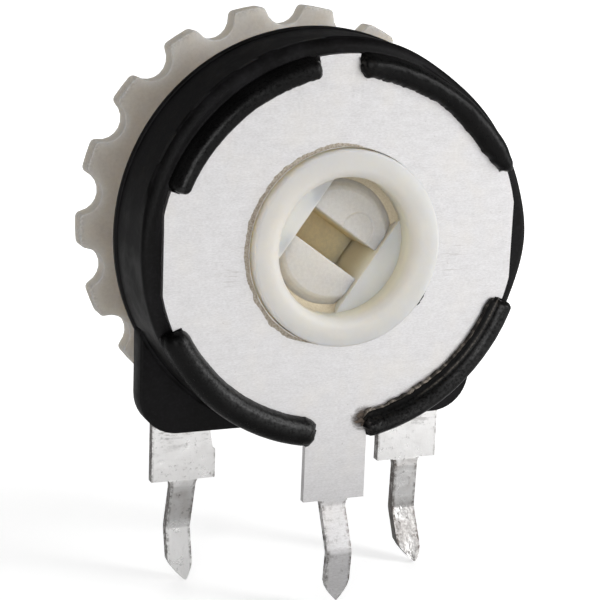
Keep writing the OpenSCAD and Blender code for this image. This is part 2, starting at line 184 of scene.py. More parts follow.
def blackGround(name, look):
    f = Finish(name, {"Specular IOR Level": look["shine"], "Coat Roughness": blacks["coatRough"]})
    cloud = f.grain(0.9, 3)
    speck = f.grain(9.0, 4, 0.7)
    tone = cloud.ramp(0.35, 0.7) * 0.5 + speck.ramp(0.45, 0.75) * 0.5
    colour = f.mix(tone, look["dark"], look["light"])
    # pale where a lip is scraped or torn, and where a highlight is painted along a lip
    f.feed(Base_Color=f.mix(f.drawn("markAndHighlight") * speck.ramp(0.36, 0.6, 0.3, 1.0), colour, blacks["markAndHighlight"]))
    return f, cloud, speck


def blackPlastic():
    f, cloud, speck = blackGround("blackPlastic", blacks["wall"])
    pits = f.grain(21.0, 2, 0.6)
    f.feed(Roughness=cloud.ramp(0.3, 0.7, 0.4, 0.56),
           Normal=f.bump(pits, 0.006, 0.7, f.bump(speck, 0.012, 0.7)))
    return f.material


# The lips were rolled with a hot tool. It left a gloss on their crests, and they are duller at the plate.
def rolledPlastic():
    f, _, speck = blackGround("blackPlasticRolled", blacks["lips"])
    flank = f.radius().ramp(7.0, 6.76) * f.along("Y").ramp(-0.42, -0.25)
    f.feed(Roughness=speck.ramp(0.35, 0.65, 0.26, 0.38) + flank * 0.12,
           Coat_Weight=f.drawn("gloss") * speck.ramp(0.36, 0.64, 0.3, 1.0),
           Normal=f.bump(f.grain(15.0, 1, 0.5), 0.01, 0.9, f.bump(f.grain(5.0, 2, 0.5), 0.014, 0.9)))
    return f.material


# The pins' long edges are darker in a band, broken up by noise. Half and shoulders
# are the half widths, and a band is how far inside the edge the dark starts and is full.
pins = {"pitch": 5.0, "half": 0.525, "shoulders": 1.35, "step": -0.02, "centre": (2.4, 2.5),
        "band": (0.17, 0.04), "wideBand": (0.12, 0.03), "wide": 0.7}


def pinEdges(f, wings=1.0):
    across, height = abs(f.along("X")), f.along("Z")
    centre = across.ramp(*pins["centre"], 1.0, 0.0)
    beside = abs(across - pins["pitch"] * (1 - centre))
    low = height.ramp(pins["step"] + 0.02, pins["step"] - 0.02)
    edge = beside.ramp(*(pins["half"] - b for b in pins["band"])) * low
    wide = beside.ramp(*(pins["shoulders"] - b for b in pins["wideBand"])) * (1 - low) * (1 - centre)
    return (edge + wide * pins["wide"] * wings) * f.grain(4.5, 4, 0.75).ramp(0.4, 0.62)


# Tinned brass sheet: a fine mottle, faint marks of the rolling, and scratches on both sides of the hole.
def tinnedPlate():
    look = {"bright": shade(226, 225, 226), "dull": shade(200, 198, 198), "warm": shade(224, 219, 211),
            "spot": shade(160, 153, 148), "edge": shade(104, 98, 94),
            "scratched": {"radius": (5.9, 4.2), "middle": -0.55, "half": (1.3, 0.2)}}
    f = Finish("tinnedPlate", {"Metallic": 1.0})
    streaks = f.grain(3.0, 5, 0.7, (0.4, 1, 1.6))
    fine = f.grain(13.0, 4, 0.7, (0.6, 1, 1.5))
    mottle = f.grain(2.3, 3)
    tone = streaks.ramp(0.3, 0.7) * 0.3 + fine.ramp(0.3, 0.7) * 0.55 + mottle.ramp(0.3, 0.7) * 0.15
    colour = f.mix(tone, look["dull"], look["bright"])
    colour = f.mix(f.grain(0.5, 3).ramp(0.45, 0.7, 0.0, 0.28), colour, look["warm"])
    where = look["scratched"]
    height = f.along("Z") - axisHeight
    scratches = f.radius().ramp(*where["radius"]) * abs(height - where["middle"]).ramp(*where["half"]) \
        * f.grain(7.0, 2, 0.6, (0.07, 1, 2.0)).ramp(0.58, 0.7)
    spots = f.grain(5.5, 2, 0.5).ramp(0.7, 0.78)
    specks = f.cells(2.4, (1, 1, 1.7)).ramp(0.09, 0.02) * f.grain(1.3, 2).ramp(0.5, 0.62)
    colour = f.mix((specks * 0.55 + spots * 0.35 + scratches * 0.7).smaller(1.0), colour, look["spot"])
    smudge = f.grain(2.2, 4, 0.7).ramp(0.5, 0.68) * f.along("Z").ramp(0.1, -0.4)
    colour = f.mix((pinEdges(f, 0.0) * 0.7 + smudge * 0.4).smaller(1.0), colour, look["edge"])
    f.feed(Base_Color=colour, Roughness=mottle.ramp(0.3, 0.7, 0.36, 0.42),
           Normal=f.bump(1 - scratches, 0.008, 0.6, f.bump(fine, 0.006, 0.5, f.bump(streaks, 0.01, 0.4))))
    return f.material


# Tin on the board pins: smudged and scuffed. Above the step the terminals are painted lighter, the left pin's end
# has a painted highlight, and the right pin's end has mottled painted shade.
def tinnedPin():
    look = {"bright": shade(224, 223, 222), "dull": shade(204, 201, 199), "stain": shade(98, 92, 88),
            "litTin": shade(248, 247, 246)}
    f = Finish("tinnedPin", {"Metallic": 1.0})
    blotch = f.grain(1.3, 3, 0.5, twist=0.4)
    small = f.grain(7.0, 4, 0.7)
    colour = f.mix(blotch.ramp(0.4, 0.68), look["bright"], look["dull"])
    # painted light: the terminals are painted lighter above the step
    upper = f.along("Z").ramp(pins["step"] - 0.05, pins["step"] + 0.05)
    colour = f.mix(upper * 0.75, colour, look["litTin"])
    # painted highlight on the left pin's lower end
    leftPinHighlight = f.along("X").ramp(-3.5, -4.5) * f.along("Z").ramp(-1.7, -2.2)
    colour = f.mix(leftPinHighlight, colour, look["litTin"])
    stain = f.grain(2.6, 4, 0.7).ramp(0.58, 0.72) * small.ramp(0.4, 0.65)
    # painted shade, mottled, on the right pin's lower end
    rightPinShade = f.along("X").ramp(3.5, 4.5) * f.along("Z").ramp(-1.6, -2.3) * small.ramp(0.35, 0.6, 0.35, 1.0)
    scuffs = f.grain(2.6, 5, 0.75, (0.45, 1, 1.5)).ramp(0.5, 0.64) * f.along("Z").ramp(0.9, 2.1)
    cut = abs(f.facing("X")).ramp(0.6, 0.95)  # the side faces are darker
    grime = f.grain(5.0, 3, 0.7).ramp(0.56, 0.7) * f.grain(0.8, 2).ramp(0.45, 0.6)
    # stains, grime and scuffs, with the right pin's painted shade, the darker side faces and the edge bands
    dirtAndShade = stain * 0.6 + grime * 0.55 + scuffs * 0.5 + rightPinShade * 0.5 + cut * 0.55 + pinEdges(f) * 0.75
    f.feed(Base_Color=f.mix(dirtAndShade.smaller(1.0), colour, look["stain"]),
           Roughness=blotch.ramp(0.3, 0.7, 0.26, 0.36),
           Normal=f.bump(small, 0.014, 0.6, f.bump(blotch * (1 - upper * 0.6), 0.09, 0.6)))
    return f.material


milky = (1.0, 0.86, 0.66)  # how deep red, green and blue light go in the white mouldings


# Ivory rotor, moulded. Its recess walls get a warm tint and its deep parts a tan, painted shade and scattered
# light, and its web, which lies in shade, is painted lighter.
def ivoryPlastic():
    look = {"pale": shade(222, 216, 209), "warm": shade(244, 233, 210), "deep": shade(226, 212, 180),
            "litWeb": shade(250, 242, 230)}
    f = Finish("ivoryPlastic", {"Specular IOR Level": 0.35, "Subsurface Weight": 1.0,
                                "Subsurface Scale": 0.003, "Subsurface Radius": milky})
    cloud = f.grain(0.8, 3)
    fine = f.grain(9.0, 3)
    depth = f.along("Y")
    front = abs(f.facing("Y"))
    # painted shade and scattered light: a warm tint on the recess walls
    wall = front.ramp(0.9, 0.35) * depth.ramp(-0.3, 0.3)
    colour = f.mix((cloud.ramp(0.45, 0.75) * 0.2 + wall * 0.8).smaller(1.0), look["pale"], look["warm"])
    # painted light: the web is painted lighter where it lies in shade
    colour = f.mix(depth.ramp(0.4, 0.7) * front.ramp(0.8, 0.95), colour, look["litWeb"])
    # painted shade: a tan deep in the recess
    colour = f.mix(depth.ramp(0.9, 2.4), colour, look["deep"])
    f.feed(Base_Color=colour, Roughness=cloud.ramp(0.3, 0.7, 0.34, 0.48),
           Normal=f.bump(fine, 0.008, 0.6, f.bump(cloud, 0.09, 0.6)))
    return f.material


# The wheel and its stem: one moulding. Deep in the slot the stem is painted a warm tan, painted shade and
# scattered light, and the wheel is greyer than the stem. A pin in the mould left a round mark on one prong.
def wheelPlastic():
    look = {"stem": shade(216, 213, 208), "slotShadeTint": shade(242, 226, 186), "wheelGrey": shade(198, 195, 191),
            "speck": shade(128, 122, 118), "mark": (0.92, 0.5, 0.66)}
    f = Finish("wheelPlastic", {"Specular IOR Level": 0.35, "Subsurface Weight": 0.9,
                                "Subsurface Scale": 0.0022, "Subsurface Radius": milky})
    across, depth, height = f.along("X"), f.along("Y"), f.along("Z") - axisHeight
    cloud = f.grain(0.9, 3)
    speck = f.grain(6.5, 4, 0.7)
    x, z, r = look["mark"]
    mark = (far(across - x, height - z) - r).ramp(-0.05, 0.05) * depth.ramp(1.1, 0.95)
    # painted shade and scattered light: a warm tan deeper in the stem
    colour = f.mix(depth.ramp(1.0, 2.2), look["stem"], look["slotShadeTint"])
    # the wheel, further back, is greyer
    colour = f.mix(depth.ramp(4.2, 5.8), colour, look["wheelGrey"])
    rim = far(across, height).ramp(8.4, 8.66) * f.grain(10.0, 4, 0.7).ramp(0.4, 0.62)
    grit = f.grain(7.0, 4, 0.75).ramp(0.35, 0.65)
    colour = f.mix((rim * 0.32 + cloud.ramp(0.5, 0.75) * 0.12 + grit * 0.12).smaller(1.0), colour, look["speck"])
    f.feed(Base_Color=colour, Roughness=cloud.ramp(0.3, 0.7, 0.4, 0.55),
           Normal=f.bump(mark, 0.06, 1.0, f.bump(speck, 0.008, 0.5, f.bump(cloud, 0.04, 0.5))))
    return f.material


# The resistive element inside: punched laminate with printed layers.
def phenolic():
    look = {"dark": shade(128, 84, 48), "light": shade(166, 112, 66)}
    f = Finish("phenolic", {"Specular IOR Level": 0.35})
    paper = f.grain(3.0, 5, 0.7, (0.25, 1, 1.4))
    f.feed(Base_Color=f.mix(paper.ramp(0.3, 0.7), look["dark"], look["light"]),
           Roughness=paper.ramp(0.3, 0.7, 0.5, 0.68), Normal=f.bump(paper, 0.02, 0.5))
    return f.material


def printed(name, first, second, metal, rough):
    f = Finish(name, {"Metallic": metal})
    grit = f.grain(12.0, 3, 0.7)
    f.feed(Base_Color=f.mix(grit.ramp(0.35, 0.65), shade(*first), shade(*second)),
           Roughness=grit.ramp(0.3, 0.7, rough, rough + 0.15), Normal=f.bump(grit, 0.006, 0.7))
    return f.material


# Every solid of the frame gets its finish and softened edges; its corners stay where they are.
sheet, tin = tinnedPlate(), tinnedPin()
silver = printed("silverPrint", (196, 193, 186), (222, 220, 214), 0.9, 0.35)
dress = {
    "collector_plate": {"finish": sheet, "edge": 0.035},
    "terminal_left": {"finish": tin, "edge": 0.06},
    "terminal_right": {"finish": tin, "edge": 0.06},
    "rivet_left": {"finish": tin, "edge": 0.03},
    "rivet_right": {"finish": tin, "edge": 0.03},
    "rotor": {"finish": ivoryPlastic(), "edge": 0.05},
    "thumbwheel": {"finish": wheelPlastic(), "edge": 0.06},
    "element_base": {"finish": phenolic(), "edge": 0.03},
    "carbon_track": {"finish": printed("carbonPrint", (34, 33, 33), (58, 56, 55), 0.0, 0.45), "edge": 0},
    "pad_left": {"finish": silver, "edge": 0},
    "pad_right": {"finish": silver, "edge": 0},
    "wiper": {"finish": printed("bronzeSheet", (186, 152, 104), (214, 182, 134), 1.0, 0.28), "edge": 0.015},
}
corners = {"weld": 0.0004, "flat": 0.3, "segments": 2, "sharp": 32}  # millimetres, degrees, count, degrees


def soften(piece, finish, edge):
    piece.data.materials.clear()
    piece.data.materials.append(finish)
    piece.data.polygons.foreach_set("use_smooth", [True] * len(piece.data.polygons))
    if "custom_normal" in piece.data.attributes:
        piece.data.attributes.remove(piece.data.attributes["custom_normal"])
    weld = piece.modifiers.new("weld", "WELD")
    weld.merge_threshold = corners["weld"] * mm
    flat = piece.modifiers.new("flat", "DECIMATE")
    flat.decimate_type = "DISSOLVE"
    flat.angle_limit = math.radians(corners["flat"])
    if edge:
        bevel = piece.modifiers.new("edge", "BEVEL")
        bevel.width = edge * mm
        bevel.segments = corners["segments"]
        bevel.limit_method = "ANGLE"
        bevel.angle_limit = math.radians(corners["sharp"])
        bevel.harden_normals = True
        bevel.use_clamp_overlap = True


for name, part in dress.items():
    soften(nodes[name], part["finish"], part["edge"])
print("frame pieces dressed")


# Mesh tools. Angles are as the plate is seen, from the right and turning left; sizes are in millimetres.
def around(radius, angle):
    return radius * math.cos(math.radians(angle)), radius * math.sin(math.radians(angle))


def spot(radius, angle, depth):
    x, z = around(radius, angle)
    return Vector((x, depth, axisHeight + z)) * mm


def rough(x, y, z, size, octaves=3):  # noise from about -1 to 1 over features of that size
    return noise.fractal(Vector((x, y, z)) / size, 1.0, 2.0, octaves)


def bow(share):  # 0 at both ends, 1 in the middle
    return max(0.0, 1 - (2 * share - 1) ** 2)


def hump(value, middle, spread):  # 1 in the middle, fading on both sides
    return math.exp(-((value - middle) / spread) ** 2)


def smooth(value, start, end):
    t = min(1.0, max(0.0, (value - start) / (end - start)))
    return t * t * (3 - 2 * t)


def between(stops, value):
    if value <= stops[0][0]:
        return stops[0][1]
    for (a, u), (b, v) in zip(stops, stops[1:]):
        if value <= b:
            return u + (v - u) * smooth(value, a, b)
    return stops[-1][1]


def addPiece(mesh, name, finish, body):
    for face in mesh.faces:
        face.smooth = True
    data = bpy.data.meshes.new(name)
    mesh.to_mesh(data)
    mesh.free()
    data.materials.append(finish)
    piece = bpy.data.objects.new(name, data)
    bpy.context.scene.collection.objects.link(piece)
    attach(piece, body)
    return piece


# A skin over rings of points, open with capped ends, or joined round. Marks are each point's pale mark, which is
# wear and in places a painted highlight, and its gloss.
def loft(name, rings, finish, body, wrap=False, marks=None):
    mesh = bmesh.new()
    stores = [mesh.verts.layers.float.new(mark) for mark in ("markAndHighlight", "gloss")]
    rows = []
    for i, ring in enumerate(rings):
        row = [mesh.verts.new(p) for p in ring]
        for j, v in enumerate(row):
            for k, store in enumerate(stores):
                v[store] = marks[i][j][k] if marks else 0.0
        rows.append(row)
    count = len(rows)
    for i in range(count if wrap else count - 1):
        a, b = rows[i], rows[(i + 1) % count]
        for j in range(len(a)):
            k = (j + 1) % len(a)
            mesh.faces.new((a[j], a[k], b[k], b[j]))
    if not wrap:
        mesh.faces.new(rows[0])
        mesh.faces.new(list(reversed(rows[-1])))
    bmesh.ops.recalc_face_normals(mesh, faces=mesh.faces)
    return addPiece(mesh, name, finish, body)


# The drum: a revolved wall with its rear rim, rear wall and bearing collar. It is dented between two
# angles and bulges at the right, each fading over a range of depth, and the skirt joins it in a fillet.
drum = {"radius": 8, "steps": 360, "wall": 7.6, "dent": 0.14, "dentAngles": (30, 78), "dentFade": (0.6, 2.6),
        "bulge": 0.15, "bulgeAngles": (0, 20), "bulgeFade": (1.6, 3.3),
        "fillet": 0.16, "filletAngles": (206, 334), "filletDepths": (2.5, 2.59, 2.76),
        "wave": 0.012, "waveSize": 2.5, "waveEnd": 3.4, "rim": 0.2}
drumProfile = [(6.7, 2.75), (6.7, 1.5), (6.7, 0.34), (6.74, 0.3), (7.2, 0.3), (7.4, 0.3), (7.47, 0.302),
               (7.54, 0.303), (7.62, 0.304), (7.7, 0.306), (7.79, 0.32), (7.87, 0.365), (7.915, 0.42),
               (7.938, 0.48), (7.95, 0.56), (7.95, 0.66), (7.955, 1.0), (7.965, 1.4),
               (7.975, 1.9), (7.985, 2.3), (7.99, 2.5), (7.992, 2.58), (7.994, 2.65), (7.996, 2.7),
               (7.998, 2.75), (8.0, 2.9), (8.01, 3.3), (8.01, 3.42), (8.025, 3.445), (8.06, 3.46),
               (8.085, 3.48), (8.1, 3.52), (8.1, 3.7), (8.085, 3.76), (8.04, 3.795), (7.9, 3.8), (6.5, 3.8),
               (4.3, 3.8), (4.17, 3.81), (4.12, 3.85), (4.1, 3.92), (4.1, 4.22), (4.085, 4.27),
               (4.04, 4.3), (3.27, 4.3), (3.22, 4.28), (3.2, 4.23), (3.2, 2.8), (3.25, 2.75)]

# Over the upper lips the heat left the front edge rounder: its path there, and where it fades in and out.
softEdge = {"path": [(7.38, 0.3), (7.45, 0.37), (7.6, 0.385), (7.7, 0.42), (7.8, 0.49), (7.87, 0.56),
                     (7.92, 0.63), (7.95, 0.72)],
            "radii": (7.38, 7.96), "depth": 0.7, "start": (16, 32), "end": (162, 180)}


def drumShape(radius, angle, depth):
    if radius > drum["wall"]:
        along = smooth(angle, *drum["dentAngles"])
        radius -= drum["dent"] * bow(along) * (1 - smooth(depth, *drum["dentFade"]))
        aside = abs((angle + 180) % 360 - 180)
        radius += drum["bulge"] * (1 - smooth(aside, *drum["bulgeAngles"])) \
            * (1 - smooth(depth, *drum["bulgeFade"]))
        (first, last), (front, start, back) = drum["filletAngles"], drum["filletDepths"]
        if first < angle < last and front < depth < back:
            run = max(0.0, (depth - start) / drum["fillet"])
            radius += drum["fillet"] * (1 - math.sqrt(max(0.0, 1 - run ** 2)))
        x, z = around(drum["radius"], angle)
        calm = min(1.0, (depth - drum["rim"]) * 2) if depth < drum["waveEnd"] else 0
        radius += drum["wave"] * rough(x, depth, z, drum["waveSize"]) * calm
    return radius


def drumDepth(radius, angle, depth):
    near, away = softEdge["radii"]
    if near < radius < away and depth < softEdge["depth"]:
        soft = min(smooth(angle, *softEdge["start"]), 1 - smooth(angle, *softEdge["end"]))
        depth += soft * (between(softEdge["path"], radius) - depth)
    return depth


rings = []
for i in range(drum["steps"]):
    angle = 360 * i / drum["steps"]
    rings.append([spot(drumShape(r, angle, y), angle, drumDepth(r, angle, y)) for r, y in drumProfile])
wallFinish = blackPlastic()
housing = loft("housing_drum", rings, wallFinish, "housing", wrap=True)
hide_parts("housing")


# The skirt: the rear wall drawn down to the terminals, with rounded corners and edges.
skirt = {"width": 14.4, "drop": 7.85, "corner": 1.6, "front": 2.75, "back": 3.8, "top": -3.45, "round": 0.09,
         "sideSteps": 6, "lowSteps": 10, "cornerStep": 9, "flat": 0.98}


def skirtOutline(inset):
    half, low, r = skirt["width"] / 2 - inset, -skirt["drop"] + inset, skirt["corner"] - inset
    side = [skirt["top"] + (low + r - skirt["top"]) * k / skirt["sideSteps"] for k in range(skirt["sideSteps"])]
    corner = [around(r, a) for a in range(0, 91, skirt["cornerStep"])]
    points = [(half, z) for z in side]
    points += [(half - r + out, low + r - down) for out, down in corner]
    points += [(half - r - 2 * (half - r) * k / skirt["lowSteps"], low) for k in range(1, skirt["lowSteps"])]
    points += [(-half + r - out, low + r - down) for down, out in corner]
    return points + [(-half, z) for z in reversed(side)]


rings = []
r, front, back = skirt["round"], skirt["front"], skirt["back"]
for inset, depth in [(r, front), (0.3 * r, front + 0.3 * r), (0, front + r), (0, (front + back) / 2),
                     (0, back - r), (0.3 * r, back - 0.3 * r), (r, back - 0.001)]:
    rings.append([Vector((x, depth, axisHeight + z)) * mm for x, z in skirtOutline(inset)])
skirtPiece = loft("housing_skirt", rings, wallFinish, "housing")
for face in skirtPiece.data.polygons:
    face.use_smooth = len(face.vertices) == 4 and abs(face.normal.y) < skirt["flat"]
print("drum and skirt made")


# The rolled lips. Each is a lofted bead whose sizes change along it: its edges, its crest, how ragged its
# inner edge is, and how torn it is. Feet are the depths of its two edges, and close is how far from an end
# it starts to narrow. Gloss is the polish's middle and spread over the width, and its most. The tail is its
# path down the outside, as radius, depth and the strength of a painted highlight line along the drum's edge.
lips = {
    "lip_upper_right": {
        "span": (22.0, 87.2), "height": 0.5, "feet": (0.04, 0.36), "close": 0.45, "gloss": (0.72, 0.2, 0.4),
        "inner": [(21, 7.34), (22.2, 7.2), (24, 7.0), (28, 6.84), (33, 6.68), (45, 6.62), (70, 6.5), (87, 6.52)],
        "outer": [(21, 7.66), (25, 7.74), (30, 7.78), (36, 7.71), (42, 7.62), (60, 7.47), (87, 7.45)],
        "crest": [(23, 0.46), (35, 0.5), (87, 0.46)],
        "ragged": [(23, 0.01), (48, 0.025), (60, 0.045), (87, 0.06)],
        "torn": [(23, 0), (80, 0), (87, 0.5)]},
    "lip_upper_left": {
        "span": (100.7, 160.8), "height": 0.5, "feet": (0.04, 0.36), "close": 0.3, "gloss": (0.62, 0.2, 0.7),
        "inner": [(100, 6.62), (115, 6.6), (130, 6.65), (161, 6.76)],
        "outer": [(100, 7.44), (130, 7.43), (161, 7.48)],
        "crest": [(100, 0.32), (161, 0.34)],
        "ragged": [(100, 0.03), (161, 0.015)],
        "torn": [(101, 0.2), (106, 0), (161, 0)]},
    "lip_lower_left": {
        "span": (203.2, 262.6), "height": 0.515, "feet": (0.04, 0.06), "close": 0.5, "gloss": (0.29, 0.17, 0.95),
        "inner": [(203, 6.9), (220, 6.84), (252, 6.8), (263, 6.8)],
        "outer": [(203, 7.93), (225, 7.97), (263, 7.96)],
        "crest": [(203, 0.5), (263, 0.5)],
        "ragged": [(203, 0.008), (245, 0.01), (263, 0.03)],
        "torn": [(203, 0), (256, 0), (263, 0.5)],
        # the tail's third column paints a highlight line along the drum's front edge
        "tail": [(7.975, 0.18, 0.0), (7.96, 0.3, 0.0), (7.935, 0.4, 0.3), (7.92, 0.46, 0.85),
                 (7.925, 0.52, 0.8), (7.945, 0.58, 0.1), (7.945, 0.66, 0.0), (7.6, 0.7, 0.0)]},
    "lip_lower_right": {
        "span": (279.4, 340.8), "height": 0.5, "feet": (0.04, 0.3), "close": 0.22, "gloss": (0.5, 0.17, 1.0),
        "inner": [(280, 6.66), (300, 6.66), (336, 6.74), (341, 6.8)],
        "outer": [(280, 7.84), (310, 7.88), (341, 7.9)],
        "crest": [(280, 0.56), (341, 0.56)],
        "ragged": [(280, 0.06), (312, 0.05), (341, 0.03)],
        "torn": [(279, 0.8), (285, 0.2), (292, 0), (337, 0), (341, 0.5)],
        "scrape": [(279, 1.0), (306, 0.9), (318, 0.45), (341, 0.25)], "across": 72},
}

# What the hot tool did to every lip. Ends lose width inside and outside, and keep some height. A size is
# that of the noise's features.
rolled = {"step": 0.3, "across": 34, "radius": 7, "arc": 7.2, "square": 2.15, "lossIn": 0.3, "lossOut": 0.28,
          "endHeight": 0.1, "deepest": -0.519, "tearSizes": (0.7, 0.21), "tearSteep": 6,
          "wave": 0.012, "waveSize": 0.5, "tornHeight": 0.05, "tornSize": 0.22, "tornWear": 0.14,
          "wearSize": 0.2, "tornTurn": 1.1, "turnSize": 0.4, "glossSize": 1.1, "outside": 0.42}

# The scraped lip has a ridge at its inner edge and a groove behind it, before the bead. The groove is a
# share of the lip's width, and what is in it is placed in shares of the groove. A pale line along the groove's
# outer edge is a painted highlight.
scraped = {"groove": 0.3, "wall": 0.12, "height": 0.24, "dip": 0.1, "ridge": 0.06, "ridgeMiddle": 0.13,
           "wander": 0.07, "ridgeSpread": 0.08, "lap": 0.85, "lineMiddle": 0.92, "lineSpread": 0.06,
           "lineAngles": (296, 306), "lineHighlight": 0.4}


def bead(share, crest):  # height over a bead's width, with the crest off the middle
    lean = min(1.0, max(0.0, share)) ** (math.log(0.5) / math.log(crest))
    return (1 - abs(2 * lean - 1) ** rolled["square"]) ** 0.5


def scrapedBead(lip, angle, share, crest, x, z, seed):
    u = share / scraped["groove"]
    middle = scraped["ridgeMiddle"] + scraped["wander"] * rough(x, seed + 4, z, 0.5)
    ridge = hump(u, middle, scraped["ridgeSpread"]) * between(lip["scrape"], angle)
    broken = 0.25 + 0.9 * smooth(rough(x, seed + 9, z, 0.35) + 0.5 * rough(x, seed, z, 0.12), -0.2, 0.35)
    floor = scraped["height"] - scraped["dip"] * bow(min(1.0, u)) + scraped["ridge"] * ridge * broken
    start = scraped["groove"] * scraped["lap"]
    rise = max(smooth(u, 0, scraped["wall"]) * floor, lip["height"] * bead((share - start) / (1 - start), crest))
    # a painted highlight line along the groove's outer edge, in the pale colour of the scrapes
    highlightLine = hump(u, scraped["lineMiddle"], scraped["lineSpread"]) * smooth(angle, *scraped["lineAngles"]) \
        * (0.7 + 0.5 * rough(z, x, seed, 0.4))
    return rise, ridge * broken if u < 0.5 else scraped["lineHighlight"] * highlightLine


def lipRing(lip, name, angle):
    start, end = lip["span"]
    seed = len(name) * 3.7
    inner, outer, crest, ragged, torn = (between(lip[k], angle)
                                         for k in ("inner", "outer", "crest", "ragged", "torn"))
    x, z = around(rolled["radius"], angle)
    near = min(angle - start, end - angle) * math.radians(rolled["arc"])  # distance to the nearer end
    nearShare = min(1.0, near / lip["close"])
    swell = math.sqrt(max(0.0, 1 - (1 - nearShare) ** 2))
    coarse, fine = rolled["tearSizes"]
    tear = ragged * (rough(x, seed, z, coarse) + 0.9 * rough(x, seed, z, fine, 2))
    width = outer - inner
    inner += width * rolled["lossIn"] * (1 - swell)
    outer -= width * rolled["lossOut"] * (1 - swell)
    low, high = lip["feet"]
    middle, spread, most = lip["gloss"]
    top, marks = [], []
    count = lip.get("across", rolled["across"])
    for j in range(count + 1):
        share = 0.5 - 0.5 * math.cos(math.pi * j / count)
        radius = inner + (outer - inner) * share + tear * max(0.0, 1 - share * rolled["tearSteep"]) ** 2
        if "scrape" in lip:
            rise, markAndHighlight = scrapedBead(lip, angle, share, crest, x, z, seed)
        else:
            rise, markAndHighlight = lip["height"] * bead(share, crest), 0.0
        rise *= rolled["endHeight"] + (1 - rolled["endHeight"]) * swell
        rise += rolled["wave"] * rough(x + radius, seed, z - radius, rolled["waveSize"]) * swell
        rise += torn * rolled["tornHeight"] * rough(x * 1.2, radius * 2, z * 1.2, rolled["tornSize"], 3) * swell
        markAndHighlight = max(markAndHighlight, torn * rolled["tornWear"] * max(0.0, rough(x, radius * 2, z, rolled["wearSize"])))
        turn = torn * rolled["tornTurn"] * rough(radius * 2, seed, rise * 3, rolled["turnSize"]) * (1 - nearShare)
        foot = (low + (high - low) * share) * (1 - bead(share, 0.5))
        top.append(spot(radius, angle + turn, max(rolled["deepest"], foot - rise)))
        gloss = most * hump(share, middle, spread) * (0.85 + 0.3 * rough(x, seed + 6, z, rolled["glossSize"]))
        marks.append((min(1.0, max(0.0, markAndHighlight)), max(0.0, gloss) * swell))
    tail = [(outer, rolled["outside"], 0.0)]
    if "tail" in lip:
        shift = (outer - between(lip["outer"], angle)) * (1 - swell)
        # the third value is a painted highlight line along the drum's edge
        tail = [(r + shift, y, w * swell * (0.6 + 0.6 * rough(x, y, z, 0.5))) for r, y, w in lip["tail"]]
    under = [(r, y) for r, y, w in tail]
    under += [(max(inner + 0.3, rolled["radius"]), tail[-1][1]), (inner + 0.04, low + 0.02)]
    marks += [(min(1.0, max(0.0, w)), 0.0) for r, y, w in tail] + [(0.0, 0.0)] * 2
    return top + [spot(r, angle, y) for r, y in under], marks


lipFinish = rolledPlastic()
for name, lip in lips.items():
    start, end = lip["span"]
    count = int((end - start) / rolled["step"])
    made = [lipRing(lip, name, start + (end - start) * i / count) for i in range(count + 1)]
    loft(name, [m[0] for m in made], lipFinish, "housing", marks=[m[1] for m in made])
print("lips made")


# Crumbs that the hot tool left, and dark specks at the plate's hole: radius, angle, depth, size, flatness
# and length.
bits = {
    "crumbs_lower_left": [(7.25, 261.6, -0.26, 0.06, 0.8, 1.4), (7.46, 261.8, -0.2, 0.07, 0.7, 1.0)],
    "crumbs_lower_right": [(7.42, 279.1, 0.06, 0.08, 0.7, 1.0), (7.3, 279.3, -0.06, 0.06, 0.8, 1.4)],
    "crumbs_upper_right": [(6.95, 87.1, -0.1, 0.06, 0.7, 1.0), (7.2, 87.3, -0.06, 0.07, 0.6, 1.0)],
    "hole_nick": [(4.0, 330.2, -0.012, 0.035, 0.4, 4.0), (4.01, 326.6, -0.01, 0.05, 0.3, 5.0),
                  (4.03, 324.2, -0.008, 0.05, 0.3, 2.0)],
}
lump = {"high": 0.5, "fine": 1.8}


def crumbs(name, places):
    mesh = bmesh.new()
    mesh.verts.layers.float.new("markAndHighlight")
    for k, (radius, angle, depth, size, flat, long) in enumerate(places):
        centre = spot(radius, angle, depth)
        across, up = around(1, angle)
        along = Vector((-up, 0, across))
        made = bmesh.ops.create_icosphere(mesh, subdivisions=3, radius=1)
        for v in made["verts"]:
            swell = noise.fractal(v.co * lump["fine"] + Vector((k * 5.1, len(name), 0)), 1.0, 2.0, 3)
            push = v.co * size * (1 + lump["high"] * swell)
            push.y *= flat
            v.co = centre + (push + along * push.dot(along) * (long - 1)) * mm
    addPiece(mesh, name, lipFinish, "housing")


for name, places in bits.items():
    crumbs(name, places)

# A dark smear on the plate beside the lower right lip, thinning out to nothing.
smear = {"radius": 7.0, "angle": 278.9, "halfWidth": 0.62, "halfAngle": 5.6, "steps": 44, "thick": 0.012,
         "sunk": 0.004, "under": 0.02, "steep": 3, "dark": shade(34, 30, 27), "light": shade(112, 100, 90)}


def darkSmear():
    f = Finish("darkSmear", {"Specular IOR Level": 0.15})
    hairs = f.grain(6.0, 4, 0.75, (0.5, 1, 1.5), twist=0.6)
    f.feed(Base_Color=f.mix(hairs.ramp(0.3, 0.7), smear["dark"], smear["light"]),
           Alpha=((f.drawn("markAndHighlight") * 1.6 + hairs * 1.7 - 1.3) * 1.1).larger(0.0).smaller(1.0),
           Roughness=hairs.ramp(0.3, 0.7, 0.5, 0.7), Normal=f.bump(hairs, 0.02, 0.8))
    return f.material


def smearSpot(v, u, depth):
    return spot(smear["radius"] + smear["halfWidth"] * v, smear["angle"] + smear["halfAngle"] * u, depth)


